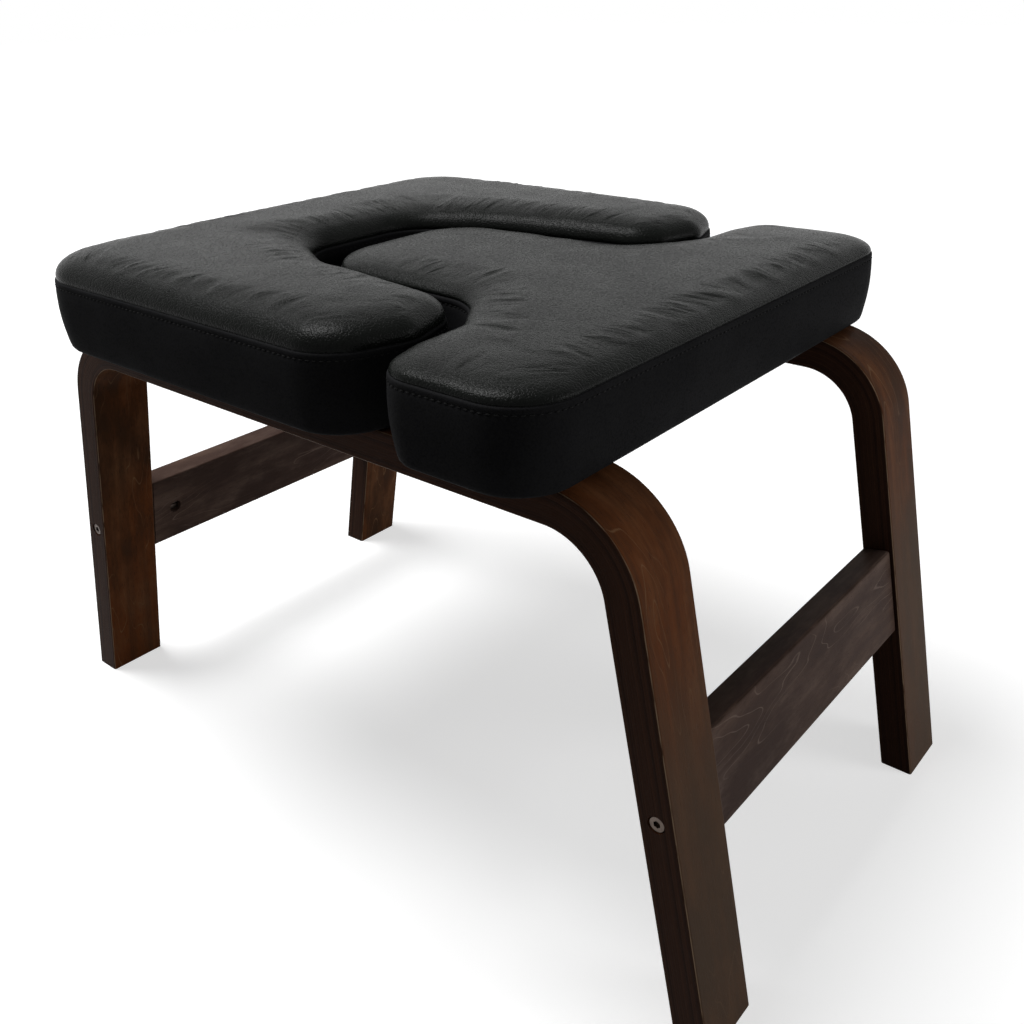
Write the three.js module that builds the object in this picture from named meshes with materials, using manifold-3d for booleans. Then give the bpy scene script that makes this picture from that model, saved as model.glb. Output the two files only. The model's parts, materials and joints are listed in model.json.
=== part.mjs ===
// Yoga headstand stool: two bent frames, two rails, a C-shaped shoulder pad and a T-shaped seat insert.
// Lengths are in millimetres. +Z is up, +X runs along the stool, and the front frame stands at -Y.
// The origin is on the floor, under the middle of the frames.

import * as THREE from 'three';
import { mergeVertices } from 'three/addons/utils/BufferGeometryUtils.js';
import Module from 'manifold-3d';

const wasm = await Module();
wasm.setup();

// Fits that every piece shares.
const fit_gap = 0.3;
const overrun = 6;
const round_steps = 16;
const hidden_round_steps = 10;

// The bent frames. The bar is the straight part on top, between the bends.
const frame_height = 320;
const bar_length = 390.6;
const frame_depth = 342;
const band_width = 46.5;
const veneer_stack = 22.5;
const bend_radius = 61;
const leg_splay = THREE.MathUtils.degToRad(11.25);
const edge_ease = 1.5;

// The rails, which lie flush with the legs' inner faces.
const rail_height = 62.5;
const rail_thickness = 19.5;
const rail_top_height = 178;
const rail_ease = 2;

// The rail bolts, their barrel nuts and the dowels beside them.
const bolt_shank_radius = 3;
const bolt_length = 70;
const bolt_head_radius = 5;
const bolt_head_height = 4;
const bolt_socket_radius = 2.3;
const bolt_socket_depth = 2.5;
const bolt_head_recess = 5;
const head_chamfer_share = 0.12;
const socket_sides = 6;
const nut_radius = 5;
const nut_cover = 1.25;
const nut_setback = 20.5;
const nut_slot_width = 1.4;
const nut_slot_depth = 1.5;
const dowel_radius = 4;
const dowel_length = 40;
const dowel_chamfer = 1;
const dowel_spacing = 38;

// The cushions: how far they overhang the frames and run past the straight part of the top bars,
// and their covers, boards and padding.
const seat_overhang = 33;
const shoulder_end_overhang = 33.7;
const insert_end_overhang = 19.7;
const cover_gauge = 1.2;
const hem_width = 20;
const board_thickness = 12;
const crown_roll = 32;
const side_round = 5;
const side_bulge = 1.5;
const side_taper = 4;
const seam_draw = 1.2;
const seam_reach = 4;
const least_corner_radius = 2;
const hem_turn_shares = [0.25, 0.33];
const shoulder_seam_height = 50;
const shoulder_crown = 15.5;
const insert_seam_height = 50;
const insert_crown = 8.5;

// What holds the shoulder pad down, and what the seat insert stands on.
const pad_bolt_radius = 3;
const pad_bolt_setback = 4.5;
const pad_bolt_head_radius = 6;
const pad_bolt_head_height = 3.3;
const pad_bolt_socket_radius = 2.3;
const pad_bolt_socket_depth = 2;
const washer_radius = 9;
const washer_thickness = 1.6;
const tee_flange_radius = 9;
const tee_flange_thickness = 1.5;
const tee_barrel_radius = 4.2;
const tee_barrel_length = 9;
const peg_radius = 5;
const peg_reach = 17;
const peg_chamfer = 1.5;

// Outline corners of each cushion's front half: place along the seat, place from the seat's middle
// line to its edge, and corner radius, as shares of the seat's length, half depth and length.
const shoulder_corner_shares = [
  [0, 1, 0.112],
  [0.688, 1, 0.082],
  [0.728, 0.735, 0.041],
  [0.694, 0.5, 0.068],
  [0.398, 0.41, 0.136],
  [0.258, 0.24, 0.08],
];
const insert_corner_shares = [
  [1, 1, 0.082],
  [0.774, 1, 0.057],
  [0.75, 0.815, 0.045],
  [0.746, 0.612, 0.047],
  [0.675, 0.395, 0.086],
  [0.33, 0.355, 0.11],
];

// Height of the crown over the seam, as shares of the way in over the roll and of the crown.
const crown_shares = [
  [0, 0],
  [0.05, 0.36],
  [0.17, 0.63],
  [0.38, 0.85],
  [0.66, 0.97],
  [1, 1],
];

// Places of the bolts and the pegs over each top bar, as shares of the span that the lining leaves.
const pad_bolt_span_shares = [0.13, 0.87];
const peg_span_shares = [0.08, 0.92];

// The most of an outline's reach that a cushion's crown may take to roll over.
const most_roll_share = 0.93;

const corner_turn = THREE.MathUtils.degToRad(24);
const bend_steps = 9;
const ease_steps = 2;
const side_steps = 2;

// Sizes that follow from those above.
const frame_middle = frame_depth / 2 - band_width / 2;
const half_rail = frame_depth / 2 - band_width - fit_gap;
const bend_height = frame_height - bend_radius;
const bend_place = bar_length / 2;
const half_span = bend_place + bend_radius / Math.cos(leg_splay) + bend_height * Math.tan(leg_splay);
const bar_underside = frame_height - veneer_stack;
const rail_middle = rail_top_height / Math.cos(leg_splay) - rail_height / 2;
const rail_centre_depth = veneer_stack - rail_thickness / 2;
const bolt_line_depth = veneer_stack / 2;
const nut_length = 2 * (bolt_line_depth - veneer_stack + rail_thickness - nut_cover);
const seat_base = frame_height + fit_gap;
const board_base = cover_gauge + fit_gap;
const board_top = board_base + board_thickness;
const foam_base = board_top + fit_gap;
const seat_depth = frame_depth + 2 * seat_overhang;
const seat_length = bar_length + shoulder_end_overhang + insert_end_overhang;
const seat_start = -bend_place - shoulder_end_overhang;
const hem_start = side_taper + side_round;
const lining_inset = hem_start + hem_width + fit_gap;

// Materials.
const stained_wood = new THREE.MeshStandardMaterial({ color: 0x4a3324, roughness: 0.42, metalness: 0 });
const rail_wood = new THREE.MeshStandardMaterial({ color: 0x4d403b, roughness: 0.45, metalness: 0 });
const raw_beech = new THREE.MeshStandardMaterial({ color: 0xc9a676, roughness: 0.7, metalness: 0 });
const raw_plywood = new THREE.MeshStandardMaterial({ color: 0xb8956a, roughness: 0.75, metalness: 0 });
const zinc_steel = new THREE.MeshStandardMaterial({ color: 0xb4b6b8, roughness: 0.35, metalness: 1 });
const black_leather = new THREE.MeshStandardMaterial({ color: 0x1c1d1d, roughness: 0.5, metalness: 0 });
const foam_rubber = new THREE.MeshStandardMaterial({ color: 0xd8cfae, roughness: 0.95, metalness: 0 });
const lining_cloth = new THREE.MeshStandardMaterial({ color: 0x141414, roughness: 0.95, metalness: 0 });

// Solids cut and joined by the library.

function toSolid(geometry) {
  const bare = geometry.clone();
  bare.deleteAttribute('normal');
  bare.deleteAttribute('uv');
  const merged = mergeVertices(bare);
  return new wasm.Manifold(new wasm.Mesh({
    numProp: 3,
    vertProperties: new Float32Array(merged.attributes.position.array),
    triVerts: new Uint32Array(merged.index.array),
  }));
}

function toGeometry(solid) {
  const mesh = solid.getMesh();
  const geometry = new THREE.BufferGeometry();
  geometry.setAttribute('position', new THREE.BufferAttribute(mesh.vertProperties, 3));
  geometry.setIndex(new THREE.BufferAttribute(mesh.triVerts, 1));
  geometry.computeVertexNormals();
  return geometry;
}

function cut(geometry, tools) {
  let solid = toSolid(geometry);
  for (const tool of tools) {
    solid = solid.subtract(toSolid(tool));
  }
  return toGeometry(solid);
}

function placed(mesh, x, y, z) {
  mesh.position.set(x, y, z);
  return mesh;
}

function named(name, geometry, material) {
  const mesh = new THREE.Mesh(geometry, material);
  mesh.name = name;
  return mesh;
}

// Round pieces. Each stands on its Y axis, as a lathe leaves it.

function turned(profile, steps = round_steps) {
  const points = profile.map(([radius, height]) => new THREE.Vector2(radius, height));
  return new THREE.LatheGeometry(points, steps);
}

function drill(radius, from, to, steps = round_steps) {
  return turned([[0, from], [radius, from], [radius, to], [0, to]], steps);
}

// The hole of a dowel or a peg, which nobody sees.
function dowelHole(radius, from, to) {
  return drill(radius + fit_gap, from, to, hidden_round_steps);
}

function chamferedRod(radius, from, to, chamfer) {
  return turned([
    [0, from],
    [radius - chamfer, from],
    [radius, from + chamfer],
    [radius, to - chamfer],
    [radius - chamfer, to],
    [0, to],
  ], hidden_round_steps);
}

function ring(inner, outer, thickness) {
  return turned([[inner, 0], [outer, 0], [outer, thickness], [inner, thickness], [inner, 0]]);
}

// A socket-head bolt: its head's outer face is at zero and its shank runs along +Y.
function socketBolt(shank_radius, length, head_radius, head_height, socket_radius, socket_depth) {
  const chamfer = head_height * head_chamfer_share;
  const blank = turned([
    [0, 0],
    [head_radius - chamfer, 0],
    [head_radius, chamfer],
    [head_radius, head_height],
    [shank_radius, head_height],
    [shank_radius, head_height + length - chamfer],
    [shank_radius - chamfer, head_height + length],
    [0, head_height + length],
  ]);
  const socket = new THREE.CylinderGeometry(socket_radius, socket_radius, socket_depth * 2, socket_sides);
  return cut(blank, [socket]);
}

// The bent frame, about the middle of its band, with its outer edge face towards -Y.

function frameOutline() {
  const foot_width = veneer_stack / Math.cos(leg_splay);
  const inner_radius = bend_radius - veneer_stack;
  const bend_start = new THREE.Vector2(bend_radius, 0).rotateAround(new THREE.Vector2(), leg_splay);
  const shape = new THREE.Shape();
  shape.moveTo(half_span, 0);
  shape.lineTo(bend_place + bend_start.x, bend_height + bend_start.y);
  shape.absarc(bend_place, bend_height, bend_radius, leg_splay, Math.PI / 2, false);
  shape.absarc(-bend_place, bend_height, bend_radius, Math.PI / 2, Math.PI - leg_splay, false);
  shape.lineTo(-half_span, 0);
  shape.lineTo(-half_span + foot_width, 0);
  shape.absarc(-bend_place, bend_height, inner_radius, Math.PI - leg_splay, Math.PI / 2, true);
  shape.absarc(bend_place, bend_height, inner_radius, Math.PI / 2, leg_splay, true);
  shape.lineTo(half_span - foot_width, 0);
  return shape;
}

// Moves a tool from a leg's own axes, with X outwards and Z up the leg, to the frame's.
function ontoLeg(tool, side, depth, height) {
  tool.translate(-side * depth, 0, height);
  tool.rotateY(-side * leg_splay);
  tool.translate(side * half_span, 0, 0);
  return tool;
}

function bentFrame(bolt_places, peg_places) {
  const blank = new THREE.ExtrudeGeometry(frameOutline(), {
    depth: band_width - 2 * edge_ease,
    bevelThickness: edge_ease,
    bevelSize: edge_ease,
    bevelOffset: -edge_ease,
    bevelSegments: ease_steps,
    curveSegments: bend_steps,
  });
  blank.translate(0, 0, edge_ease - band_width / 2);
  blank.rotateX(Math.PI / 2);

  const tools = [];
  const outer_face = -band_width / 2;
  const inner_face = band_width / 2;
  for (const side of [-1, 1]) {
    const shank_hole = drill(bolt_shank_radius + fit_gap, outer_face - overrun, inner_face + overrun);
    const head_hole = drill(bolt_head_radius + fit_gap, outer_face - overrun, outer_face + bolt_head_recess);
    tools.push(ontoLeg(shank_hole, side, bolt_line_depth, rail_middle));
    tools.push(ontoLeg(head_hole, side, bolt_line_depth, rail_middle));
    for (const step of [-1, 1]) {
      const hole_end = inner_face - dowel_length / 2 - fit_gap;
      const dowel_hole = dowelHole(dowel_radius, hole_end, inner_face + overrun);
      tools.push(ontoLeg(dowel_hole, side, bolt_line_depth, rail_middle + step * dowel_spacing / 2));
    }
  }
  for (const place of bolt_places) {
    const hole = drill(pad_bolt_radius + fit_gap, bar_underside - overrun, frame_height + overrun);
    tools.push(hole.rotateX(Math.PI / 2).translate(place, 0, 0));
  }
  for (const place of peg_places) {
    const hole = dowelHole(peg_radius, frame_height - peg_reach - fit_gap, frame_height + overrun);
    tools.push(hole.rotateX(Math.PI / 2).translate(place, 0, 0));
  }
  return cut(blank, tools);
}

// One side's rail with its bolts, nuts and dowels, in the right legs' own axes.

function railBoard() {
  const half_thickness = rail_thickness / 2 - rail_ease;
  const half_height = rail_height / 2 - rail_ease;
  const section = new THREE.Shape();
  const corners = [[1, 1], [-1, 1], [-1, -1], [1, -1]];
  corners.forEach(([across, up], index) => {
    const start = index * Math.PI / 2;
    section.absarc(across * half_thickness, up * half_height, rail_ease, start, start + Math.PI / 2, false);
  });
  const blank = new THREE.ExtrudeGeometry(section, {
    depth: half_rail * 2,
    bevelEnabled: false,
    curveSegments: ease_steps,
  });
  blank.translate(0, 0, -half_rail);
  blank.rotateX(Math.PI / 2);

  const line = rail_centre_depth - bolt_line_depth;
  const nut_inner_end = -rail_thickness / 2;
  const tools = [];
  for (const end of [-1, 1]) {
    const from = half_rail - bolt_length + band_width - bolt_head_recess - overrun;
    const bolt_hole = drill(bolt_shank_radius + fit_gap, from, half_rail + overrun);
    const nut_hole = drill(nut_radius + fit_gap, nut_inner_end - overrun, line + nut_length / 2 + fit_gap);
    bolt_hole.rotateX(end < 0 ? Math.PI : 0);
    tools.push(bolt_hole.translate(line, 0, 0));
    tools.push(nut_hole.rotateZ(-Math.PI / 2).translate(0, end * (half_rail - nut_setback), 0));
    for (const step of [-1, 1]) {
      const dowel_hole = dowelHole(dowel_radius, half_rail - dowel_length / 2, half_rail + overrun);
      dowel_hole.rotateX(end < 0 ? Math.PI : 0);
      tools.push(dowel_hole.translate(line, 0, step * dowel_spacing / 2));
    }
  }
  return cut(blank, tools);
}

function barrelNut() {
  const blank = new THREE.CylinderGeometry(nut_radius, nut_radius, nut_length, round_steps);
  blank.rotateZ(Math.PI / 2);
  const bore = drill(bolt_shank_radius + fit_gap, -nut_radius - overrun, nut_radius + overrun);
  const slot = new THREE.BoxGeometry(nut_slot_depth * 2, nut_radius * 2 + overrun, nut_slot_width);
  slot.translate(-nut_length / 2, 0, 0);
  return cut(blank, [bore, slot]);
}

function railSide(side_name, end_names, turn) {
  const leg_axes = new THREE.Group();
  leg_axes.position.x = half_span;
  leg_axes.rotation.y = -leg_splay;
  const rail = named(`${side_name}_rail`, railBoard(), rail_wood);
  leg_axes.add(placed(rail, -rail_centre_depth, 0, rail_middle));
  [-1, 1].forEach((end, index) => {
    const corner = `${end_names[index]}_${side_name}`;
    const bolt = named(`rail_bolt_${corner}`, socketBolt(
      bolt_shank_radius,
      bolt_length,
      bolt_head_radius,
      bolt_head_height,
      bolt_socket_radius,
      bolt_socket_depth,
    ), zinc_steel);
    const head_face = frame_depth / 2 - bolt_head_recess + fit_gap + bolt_head_height;
    bolt.rotation.x = end < 0 ? 0 : Math.PI;
    leg_axes.add(placed(bolt, -bolt_line_depth, end * head_face, rail_middle));
    const nut = named(`barrel_nut_${corner}`, barrelNut(), zinc_steel);
    leg_axes.add(placed(nut, -bolt_line_depth, end * (half_rail - nut_setback), rail_middle));
    for (const [level, step] of [['upper', 1], ['lower', -1]]) {
      const half_length = dowel_length / 2 - fit_gap;
      const rod = chamferedRod(dowel_radius, -half_length, half_length, dowel_chamfer);
      const dowel = named(`${level}_dowel_${corner}`, rod, raw_beech);
      const joint_face = end * (half_rail + fit_gap / 2);
      leg_axes.add(placed(dowel, -bolt_line_depth, joint_face, rail_middle + step * dowel_spacing / 2));
    }
  });
  const side = new THREE.Group();
  side.rotation.z = turn;
  side.add(leg_axes);
  return side;
}

// Cushion outlines: the front half's corners and their mirror image, counterclockwise from above.

function cushionCorners(corner_shares) {
  const front = corner_shares.map(([along, across, radius]) => ({
    x: seat_start + along * seat_length,
    y: -across * seat_depth / 2,
    radius: radius * seat_length,
  }));
  const back = front.map(({ x, y, radius }) => ({ x, y: -y, radius })).reverse();
  const corners = [...front, ...back];
  const turn = corners.reduce((sum, a, index) => {
    const b = corners[(index + 1) % corners.length];
    return sum + a.x * b.y - b.x * a.y;
  }, 0);
  return turn > 0 ? corners : corners.reverse();
}

// Where the line through p along u meets the line through q along v.
function crossing(p, u, q, v) {
  const reach = ((q.x - p.x) * v.y - (q.y - p.y) * v.x) / (u.x * v.y - u.y * v.x);
  return new THREE.Vector2(p.x + u.x * reach, p.y + u.y * reach);
}

// The sharp corners of the outline drawn in by an inset, each with its bend and the length that its
// fillet takes off the edges beside it. Two fillets on one edge share its length.
function insetCorners(corners, inset) {
  const count = corners.length;
  const edges = corners.map((corner, index) => {
    const next = corners[(index + 1) % count];
    const along = new THREE.Vector2(next.x - corner.x, next.y - corner.y).normalize();
    return { along, start: new THREE.Vector2(corner.x - along.y * inset, corner.y + along.x * inset) };
  });
  const sharp = corners.map((corner, index) => {
    const before = edges[(index + count - 1) % count];
    const after = edges[index];
    const vertex = crossing(before.start, before.along, after.start, after.along);
    const bend = Math.atan2(before.along.cross(after.along), before.along.dot(after.along));
    const radius = Math.max(corner.radius - Math.sign(bend) * inset, least_corner_radius);
    return { vertex, bend, along: before.along, setback: radius * Math.tan(Math.abs(bend) / 2) };
  });
  const fits = sharp.map((corner, index) => {
    const next = sharp[(index + 1) % count];
    return Math.min(1, corner.vertex.distanceTo(next.vertex) / (corner.setback + next.setback));
  });
  return sharp.map((corner, index) => {
    const fit = Math.min(fits[index], fits[(index + count - 1) % count]);
    return { ...corner, setback: corner.setback * fit };
  });
}

// How far the outline can be drawn in before the first of its edges is used up.
function outlineReach(corners) {
  const reaches = insetCorners(corners, 0).map(({ vertex, bend }, index, sharp) => {
    const next = sharp[(index + 1) % sharp.length];
    const loss = Math.tan(bend / 2) + Math.tan(next.bend / 2);
    return loss > 0 ? vertex.distanceTo(next.vertex) / loss : Infinity;
  });
  return Math.min(...reaches);
}

// The outline drawn in by an inset, with the same count of points whatever the inset is.
function insetOutline(corners, inset) {
  const points = [];
  insetCorners(corners, inset).forEach(({ vertex, bend, along, setback }) => {
    const way = Math.sign(bend);
    const radius = setback / Math.tan(Math.abs(bend) / 2);
    const centre = vertex.clone().addScaledVector(along, -setback);
    centre.x -= way * along.y * radius;
    centre.y += way * along.x * radius;
    const first = Math.atan2(-way * along.x, way * along.y);
    const steps = Math.ceil(Math.abs(bend) / corner_turn);
    for (let step = 0; step <= steps; step += 1) {
      const arm = new THREE.Vector2(radius, 0).rotateAround(new THREE.Vector2(), first + bend * step / steps);
      points.push(arm.add(centre));
    }
  });
  return points;
}

// A solid whose rings follow the outline. Each profile point is an inset and a height.
// An open profile is closed by a flat cap at each end, and a looped one runs back to its start.
function ringedSolid(corners, profile, looped) {
  const rings = profile.map(([inset]) => insetOutline(corners, inset));
  const count = rings[0].length;
  const positions = [];
  rings.forEach((points, level) => {
    for (const point of points) {
      positions.push(point.x, point.y, profile[level][1]);
    }
  });
  const faces = [];
  const bands = looped ? rings.length : rings.length - 1;
  for (let level = 0; level < bands; level += 1) {
    const low = level * count;
    const high = ((level + 1) % rings.length) * count;
    for (let index = 0; index < count; index += 1) {
      const next = (index + 1) % count;
      faces.push([low + index, low + next, high + next]);
      faces.push([low + index, high + next, high + index]);
    }
  }
  if (!looped) {
    const last = (rings.length - 1) * count;
    for (const [a, b, c] of THREE.ShapeUtils.triangulateShape(rings[0], [])) {
      faces.push([c, b, a]);
    }
    for (const [a, b, c] of THREE.ShapeUtils.triangulateShape(rings[rings.length - 1], [])) {
      faces.push([last + a, last + b, last + c]);
    }
  }
  const geometry = new THREE.BufferGeometry();
  geometry.setAttribute('position', new THREE.Float32BufferAttribute(positions, 3));
  geometry.setIndex(faces.flat());
  geometry.computeVertexNormals();
  return geometry;
}

// Cushion profiles, from the seat base up. The seam is drawn in, and the sides bulge a little.

function sideProfile(seam_height) {
  const lift = seam_height - seam_reach - side_round;
  const [turn_in, turn_up] = hem_turn_shares.map((share) => share * side_round);
  const points = [[hem_start, 0], [side_taper + turn_in, turn_up]];
  for (let step = 0; step <= side_steps; step += 1) {
    const way = step / side_steps;
    const inset = side_taper * (1 - way) - side_bulge * Math.sin(Math.PI * way);
    points.push([inset, side_round + lift * way]);
  }
  points.push([seam_draw, seam_height - fit_gap / 2]);
  return points;
}

function crownProfile(corners, seam_height, crown) {
  const roll = Math.min(crown_roll, most_roll_share * outlineReach(corners));
  return crown_shares.map(([way, rise]) => {
    const drawn = seam_draw * (1 - rise);
    return [drawn + roll * way, seam_height + fit_gap / 2 + crown * rise];
  });
}

// The same profile one layer further in: its points moved across the profile by a distance.
function inward(profile, distance) {
  return profile.map(([inset, height], index) => {
    const before = profile[Math.max(index - 1, 0)];
    const after = profile[Math.min(index + 1, profile.length - 1)];
    const along = new THREE.Vector2(after[0] - before[0], after[1] - before[1]).normalize();
    return [inset + along.y * distance, height - along.x * distance];
  });
}

function coverTop(corners, seam_height, crown) {
  const outside = crownProfile(corners, seam_height, crown);
  const inside = inward(outside, cover_gauge);
  inside[0][1] = outside[0][1];
  inside[inside.length - 1][0] = outside[outside.length - 1][0];
  return ringedSolid(corners, [...inside.reverse(), ...outside], false);
}

function coverSide(corners, seam_height) {
  const outside = sideProfile(seam_height);
  const inside = inward(outside, cover_gauge).filter((point) => point[1] > cover_gauge);
  inside[inside.length - 1][1] = outside[outside.length - 1][1];
  const turn_in = [hem_start, cover_gauge];
  const hem = [[hem_start + hem_width, cover_gauge], [hem_start + hem_width, 0]];
  return ringedSolid(corners, [...outside, ...inside.reverse(), turn_in, ...hem], true);
}

// The inset of a rising profile where it passes a height.
function insetAt(profile, height) {
  const index = profile.findIndex((point) => point[1] > height);
  const [low, high] = profile.slice(index - 1, index + 1);
  return THREE.MathUtils.mapLinear(height, low[1], high[1], low[0], high[0]);
}

function cushionFoam(corners, seam_height, crown) {
  const depth = cover_gauge + fit_gap;
  const side = inward(sideProfile(seam_height), depth);
  const crowned = inward(crownProfile(corners, seam_height, crown), depth);
  const top = crowned.filter((point) => point[1] > seam_height);
  const bottom = [insetAt(side, foam_base), foam_base];
  return ringedSolid(corners, [bottom, ...side.filter((point) => point[1] > foam_base), ...top], false);
}

// A flat sheet of the cushion's outline, drawn in, standing on Z from zero.
function sheet(corners, inset, thickness) {
  const shape = new THREE.Shape(insetOutline(corners, inset));
  return new THREE.ExtrudeGeometry(shape, { depth: thickness, bevelEnabled: false });
}

// Places along the top bars, at shares of the span that a cushion's lining leaves there for a hole.
function barPlaces(corner_shares, span_shares, hole_radius) {
  const outline = insetOutline(cushionCorners(corner_shares), lining_inset);
  const crossings = [];
  outline.forEach((a, index) => {
    const b = outline[(index + 1) % outline.length];
    if ((a.y < frame_middle) !== (b.y < frame_middle)) {
      crossings.push(THREE.MathUtils.mapLinear(frame_middle, a.y, b.y, a.x, b.x));
    }
  });
  const margin = hole_radius + 2 * fit_gap;
  const start = Math.min(...crossings) + margin;
  const span = Math.max(...crossings) - margin - start;
  const places = [];
  for (const [end_name, end] of [['front', -1], ['back', 1]]) {
    span_shares.forEach((share, index) => {
      const side_name = index === 0 ? 'left' : 'right';
      places.push({ name: `${end_name}_${side_name}`, x: start + share * span, y: end * frame_middle });
    });
  }
  return places;
}

function upright(tool, place) {
  return tool.rotateX(Math.PI / 2).translate(place.x, place.y, 0);
}

// A cushion's cover, padding and lining. Its board comes with its fixings.
function softPieces(name, corner_shares, seam_height, crown, places, hole_radius) {
  const corners = cushionCorners(corner_shares);
  const lining = sheet(corners, lining_inset, cover_gauge);
  const holes = places.map((place) => upright(drill(hole_radius + fit_gap, -overrun, overrun), place));
  return [
    named(`${name}_cover_top`, coverTop(corners, seam_height, crown), black_leather),
    named(`${name}_cover_side`, coverSide(corners, seam_height), black_leather),
    named(`${name}_foam`, cushionFoam(corners, seam_height, crown), foam_rubber),
    named(`${name}_dust_cloth`, cut(lining, holes), lining_cloth),
  ];
}

function cushionBoard(corner_shares, tools) {
  const corners = cushionCorners(corner_shares);
  const blank = sheet(corners, hem_start + fit_gap, board_thickness).translate(0, 0, board_base);
  return cut(blank, tools);
}

function shoulderPad() {
  const places = barPlaces(shoulder_corner_shares, pad_bolt_span_shares, tee_flange_radius);
  const pad = new THREE.Group();
  pad.position.z = seat_base;
  pad.add(...softPieces(
    'shoulder',
    shoulder_corner_shares,
    shoulder_seam_height,
    shoulder_crown,
    places,
    pad_bolt_radius,
  ));

  const flange_base = board_top - tee_flange_thickness;
  const shank_base = bar_underside - fit_gap - washer_thickness - fit_gap - seat_base;
  const bolt_base = shank_base - pad_bolt_head_height;
  const tools = [];
  for (const place of places) {
    const barrel_hole = drill(tee_barrel_radius + fit_gap, board_base - overrun, board_top + overrun);
    const flange_hole = drill(tee_flange_radius + fit_gap, flange_base - fit_gap, board_top + overrun);
    tools.push(upright(barrel_hole, place), upright(flange_hole, place));

    const bore = pad_bolt_radius + fit_gap;
    const barrel_base = tee_flange_thickness - tee_barrel_length;
    const tee_nut = named(`tee_nut_${place.name}`, turned([
      [bore, barrel_base],
      [tee_barrel_radius, barrel_base],
      [tee_barrel_radius, 0],
      [tee_flange_radius, 0],
      [tee_flange_radius, tee_flange_thickness],
      [bore, tee_flange_thickness],
      [bore, barrel_base],
    ], hidden_round_steps), zinc_steel);
    tee_nut.rotation.x = Math.PI / 2;
    pad.add(placed(tee_nut, place.x, place.y, flange_base));

    const washer = named(`pad_washer_${place.name}`, ring(bore, washer_radius, washer_thickness), zinc_steel);
    washer.rotation.x = Math.PI / 2;
    pad.add(placed(washer, place.x, place.y, shank_base + fit_gap));

    const bolt = named(`pad_bolt_${place.name}`, socketBolt(
      pad_bolt_radius,
      board_top - pad_bolt_setback - shank_base,
      pad_bolt_head_radius,
      pad_bolt_head_height,
      pad_bolt_socket_radius,
      pad_bolt_socket_depth,
    ), zinc_steel);
    bolt.rotation.x = Math.PI / 2;
    pad.add(placed(bolt, place.x, place.y, bolt_base));
  }
  pad.add(named('shoulder_board', cushionBoard(shoulder_corner_shares, tools), raw_plywood));
  return pad;
}

function seatInsert() {
  const places = barPlaces(insert_corner_shares, peg_span_shares, peg_radius);
  const insert = new THREE.Group();
  insert.position.z = seat_base;
  insert.add(...softPieces(
    'insert',
    insert_corner_shares,
    insert_seam_height,
    insert_crown,
    places,
    peg_radius,
  ));
  const peg_base = frame_height - peg_reach - seat_base;
  const tools = [];
  for (const place of places) {
    tools.push(upright(dowelHole(peg_radius, board_base - overrun, board_top + overrun), place));
    const rod = chamferedRod(peg_radius, peg_base, board_top, peg_chamfer);
    const peg = named(`insert_peg_${place.name}`, rod, raw_beech);
    peg.rotation.x = Math.PI / 2;
    insert.add(placed(peg, place.x, place.y, 0));
  }
  insert.add(named('insert_board', cushionBoard(insert_corner_shares, tools), raw_plywood));
  return insert;
}

// The whole stool.

const [bolt_places, peg_places] = [
  barPlaces(shoulder_corner_shares, pad_bolt_span_shares, tee_flange_radius),
  barPlaces(insert_corner_shares, peg_span_shares, peg_radius),
].map((places) => places.filter(({ y }) => y < 0).map(({ x }) => x));
const front_frame = named('front_frame', bentFrame(bolt_places, peg_places), stained_wood);
front_frame.position.y = -frame_middle;
const back_holes = [bolt_places, peg_places].map((places) => places.map((place) => -place));
const back_frame = named('back_frame', bentFrame(...back_holes), stained_wood);
back_frame.position.y = frame_middle;
back_frame.rotation.z = Math.PI;

const group = new THREE.Group();
group.add(front_frame, back_frame);
group.add(railSide('right', ['front', 'back'], 0));
group.add(railSide('left', ['back', 'front'], Math.PI));
group.add(shoulderPad(), seatInsert());

export default group;
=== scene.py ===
# %% [markdown]
# # A yoga headstand stool
#
# The stool has two bent wooden frames, two straight rails between their legs, and two black
# leather pads on top: a C-shaped one for the shoulders and a T-shaped insert that fills the C.
# This lesson dresses a finished construction model. The model fixes where every piece is, and
# each cell here gives one piece its fine shape or its finish. Lengths are in metres, with +Z up,
# +X along the stool and the front frame at -Y.

# %% Load the construction model
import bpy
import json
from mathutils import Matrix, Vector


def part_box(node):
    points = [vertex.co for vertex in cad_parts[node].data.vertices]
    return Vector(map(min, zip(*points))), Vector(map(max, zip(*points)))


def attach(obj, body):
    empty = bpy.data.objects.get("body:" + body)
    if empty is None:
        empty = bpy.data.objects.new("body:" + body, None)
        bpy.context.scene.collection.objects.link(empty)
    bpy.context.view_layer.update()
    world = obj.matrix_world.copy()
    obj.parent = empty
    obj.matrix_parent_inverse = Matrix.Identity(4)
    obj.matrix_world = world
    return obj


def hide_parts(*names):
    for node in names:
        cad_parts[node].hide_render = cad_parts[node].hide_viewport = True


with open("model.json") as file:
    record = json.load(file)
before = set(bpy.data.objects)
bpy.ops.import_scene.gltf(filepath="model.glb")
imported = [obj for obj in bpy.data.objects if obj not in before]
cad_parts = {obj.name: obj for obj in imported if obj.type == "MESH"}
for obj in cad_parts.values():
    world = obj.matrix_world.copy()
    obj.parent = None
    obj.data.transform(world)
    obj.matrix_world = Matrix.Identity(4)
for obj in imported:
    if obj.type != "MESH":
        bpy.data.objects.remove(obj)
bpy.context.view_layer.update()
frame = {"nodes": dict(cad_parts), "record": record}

# %% The rest of the tools
import json
import math

import bmesh
import bpy
from mathutils import Matrix, Vector
from mathutils.geometry import intersect_point_line
from mathutils.kdtree import KDTree

scene = bpy.context.scene
nodes = frame["nodes"]

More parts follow.
